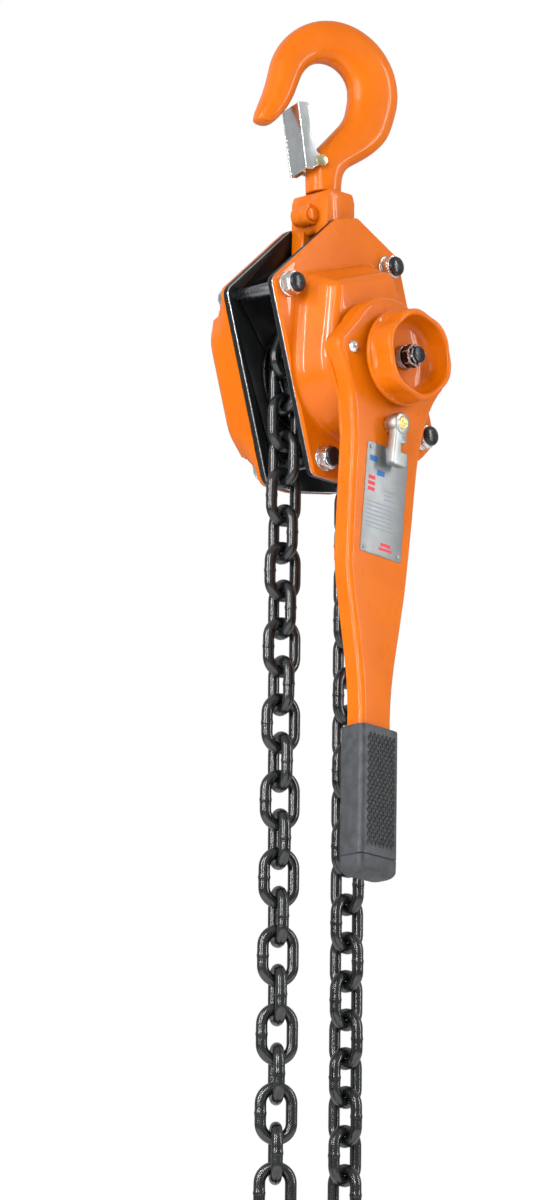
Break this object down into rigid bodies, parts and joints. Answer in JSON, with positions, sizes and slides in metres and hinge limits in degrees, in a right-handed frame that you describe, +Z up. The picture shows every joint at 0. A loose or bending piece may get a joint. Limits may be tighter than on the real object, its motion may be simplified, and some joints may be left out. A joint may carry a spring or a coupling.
{
  "type": "come along winch",
  "caption": "Lever chain hoist with a swivelling top hook, ratchet lever, hand wheel and load chain to a bottom hook.",
  "frame": {"origin": "centre of the top hook's bowl", "axes": "+Z up, -Y towards the lever and hand wheel side, +X towards the load chain"},
  "size_m": [0.1848, 0.174, 1.1809],
  "materials": {
    "orange_paint": "gloss orange paint",
    "black_plate": "semi-gloss black",
    "black_steel": "black oxide",
    "chain_black": "shiny black oxide",
    "zinc": "bright zinc plate",
    "machined_steel": "oiled steel",
    "spring_steel": "drawn wire",
    "friction_lining": "moulded friction lining",
    "yellow_brass": "yellow zinc or brass",
    "black_rubber": "moulded, diamond pattern",
    "label_aluminium": "satin, printed"
  },
  "bodies": {
    "top_hook": {"top_hook": "orange_paint", "top_latch_pin": "zinc", "top_latch_spring": "spring_steel"},
    "top_latch": {"top_latch": "zinc"},
    "top_yoke": {"yoke_front_half": "orange_paint", "yoke_back_half": "orange_paint", "yoke_rivets": "orange_paint"},
    "hoist_body": {"top_pin": "black_steel", "front_side_plate": "black_plate", "back_side_plate": "black_plate", "brake_cover": "orange_paint", "gear_cover": "orange_paint", "stay_bolts": "black_steel", "front_washers": "zinc", "front_nuts": "zinc", "back_nuts": "zinc", "sheave_bearings": "machined_steel", "chain_stripper": "machined_steel", "pawl_pins": "machined_steel", "pawl_springs": "spring_steel"},
    "load_sheave": {"load_sheave": "black_steel", "load_gear": "machined_steel", "load_gear_ring": "machined_steel", "wrapped_chain": "chain_black"},
    "upper_disc_gear": {"upper_disc_gear": "machined_steel"},
    "lower_disc_gear": {"lower_disc_gear": "machined_steel"},
    "pinion": {"pinion_shaft": "machined_steel", "friction_hub": "machined_steel", "change_gear": "machined_steel", "castle_nut": "black_steel", "cotter_pin": "zinc", "wheel_spring": "spring_steel"},
    "hand_wheel": {"hand_wheel": "orange_paint"},
    "ratchet": {"ratchet_disc": "machined_steel", "friction_discs": "friction_lining"},
    "upper_pawl": {"upper_pawl": "machined_steel"},
    "lower_pawl": {"lower_pawl": "machined_steel"},
    "lever": {"lever_front": "orange_paint", "lever_back": "orange_paint", "lever_rivets": "zinc", "rubber_grip": "black_rubber", "rating_plate": "label_aluminium", "rating_plate_rivets": "label_aluminium"},
    "selector": {"selector_shaft": "yellow_brass", "selector_arm": "zinc", "change_pawl": "machined_steel"},
    "load_chain_lead": {"load_chain_lead": "chain_black"},
    "load_chain": {"load_chain": "chain_black"},
    "tail_chain_lead": {"tail_chain_lead": "chain_black"},
    "tail_chain": {"tail_chain": "chain_black"},
    "tail_stop_ring": {"tail_stop_ring": "zinc"},
    "bottom_yoke": {"bottom_chain_pin": "black_steel", "bottom_yoke_front_half": "orange_paint", "bottom_yoke_back_half": "orange_paint", "bottom_yoke_rivets": "orange_paint"},
    "bottom_hook": {"bottom_hook": "orange_paint", "bottom_latch_pin": "zinc", "bottom_latch_spring": "spring_steel"},
    "bottom_latch": {"bottom_latch": "zinc"}
  },
  "joints": [
    {"name": "top_latch_swing", "type": "hinge", "parent": "top_hook", "child": "top_latch", "pos_m": [-0.00864, 0.00315, -0.0654], "axis": [0.342, 0.9397, 0], "range_deg": [0, 40], "stiffness_Nm_per_rad": 0.02, "springref_deg": -28.65},
    {"name": "top_swivel", "type": "hinge", "parent": "top_hook", "child": "top_yoke", "pos_m": [0, 0, -0.112], "axis": [0, 0, 1], "continuous": true},
    {"name": "body_swing", "type": "hinge", "parent": "top_yoke", "child": "hoist_body", "pos_m": [-0.00019, 0, -0.1395], "axis": [0, 1, 0], "range_deg": [-20, 25]},
    {"name": "sheave_turn", "type": "hinge", "parent": "hoist_body", "child": "load_sheave", "pos_m": [-0.003, 0, -0.24], "axis": [0, 1, 0], "range_deg": [-5.5, 5.5]},
    {"name": "upper_disc_gear_turn", "type": "hinge", "parent": "hoist_body", "child": "upper_disc_gear", "pos_m": [-0.01292, 0, -0.20853], "axis": [0, 1, 0], "range_deg": [-16.6, 16.6]},
    {"name": "lower_disc_gear_turn", "type": "hinge", "parent": "hoist_body", "child": "lower_disc_gear", "pos_m": [0.00692, 0, -0.27147], "axis": [0, 1, 0], "range_deg": [-16.6, 16.6]},
    {"name": "pinion_turn", "type": "hinge", "parent": "hoist_body", "child": "pinion", "pos_m": [-0.003, 0, -0.24], "axis": [0, 1, 0], "range_deg": [-49.6, 49.6]},
    {"name": "hand_wheel_pull", "type": "slide", "parent": "pinion", "child": "hand_wheel", "axis": [0, -1, 0], "range_m": [0, 0.005], "stiffness_N_per_m": 400, "springref_m": -0.004, "deforming": ["wheel_spring"]},
    {"name": "ratchet_play", "type": "hinge", "parent": "hoist_body", "child": "ratchet", "pos_m": [-0.003, 0, -0.24], "axis": [0, 1, 0], "range_deg": [-2, 4]},
    {"name": "upper_pawl_lift", "type": "hinge", "parent": "hoist_body", "child": "upper_pawl", "pos_m": [-0.0274, 0, -0.2717], "axis": [0, 1, 0], "range_deg": [-10, 0], "stiffness_Nm_per_rad": 0.05, "springref_deg": 17.19},
    {"name": "lower_pawl_lift", "type": "hinge", "parent": "hoist_body", "child": "lower_pawl", "pos_m": [0.0214, 0, -0.2083], "axis": [0, 1, 0], "range_deg": [-10, 0], "stiffness_Nm_per_rad": 0.05, "springref_deg": 17.19},
    {"name": "lever_swing", "type": "hinge", "parent": "hoist_body", "child": "lever", "pos_m": [-0.003, 0, -0.24], "axis": [0, 1, 0], "continuous": true},
    {"name": "selector_turn", "type": "hinge", "parent": "lever", "child": "selector", "pos_m": [-0.00789, 0, -0.29378], "axis": [0, 1, 0], "range_deg": [-35, 35]},
    {"name": "load_chain_feed", "type": "slide", "parent": "hoist_body", "child": "load_chain_lead", "axis": [0, 0, 1], "range_m": [-0.0037, 0.0037]},
    {"name": "load_chain_swing", "type": "hinge", "parent": "load_chain_lead", "child": "load_chain", "pos_m": [0.035, 0, -0.30375], "axis": [0, 1, 0], "range_deg": [-25, 2]},
    {"name": "tail_chain_feed", "type": "slide", "parent": "hoist_body", "child": "tail_chain_lead", "axis": [0, 0, 1], "range_m": [-0.0037, 0.0037]},
    {"name": "tail_chain_swing", "type": "hinge", "parent": "tail_chain_lead", "child": "tail_chain", "pos_m": [-0.041, 0, -0.29435], "axis": [0, 1, 0], "range_deg": [0, 25]},
    {"name": "stop_ring_swing", "type": "hinge", "parent": "tail_chain", "child": "tail_stop_ring", "pos_m": [-0.041, 0, -0.93345], "axis": [0.6807, 0.7325, 0], "range_deg": [-60, 60]},
    {"name": "bottom_yoke_swing", "type": "hinge", "parent": "load_chain", "child": "bottom_yoke", "pos_m": [0.035, 0, -0.9233], "axis": [0, 1, 0], "range_deg": [-30, 25]},
    {"name": "bottom_swivel", "type": "hinge", "parent": "bottom_yoke", "child": "bottom_hook", "pos_m": [0.035, 0, -0.9523], "axis": [0, 0, 1], "continuous": true},
    {"name": "bottom_latch_swing", "type": "hinge", "parent": "bottom_hook", "child": "bottom_latch", "pos_m": [0.0258, 0, -0.9989], "axis": [0, -1, 0], "range_deg": [0, 40], "stiffness_Nm_per_rad": 0.02, "springref_deg": -28.65}
  ],
  "couplings": [
    {"joint": "upper_disc_gear_turn", "follows": "sheave_turn", "ratio": -3},
    {"joint": "lower_disc_gear_turn", "follows": "sheave_turn", "ratio": -3},
    {"joint": "pinion_turn", "follows": "sheave_turn", "ratio": 9},
    {"joint": "load_chain_feed", "follows": "sheave_turn", "m_per_rad": -0.038},
    {"joint": "tail_chain_feed", "follows": "sheave_turn", "m_per_rad": 0.038}
  ]
}
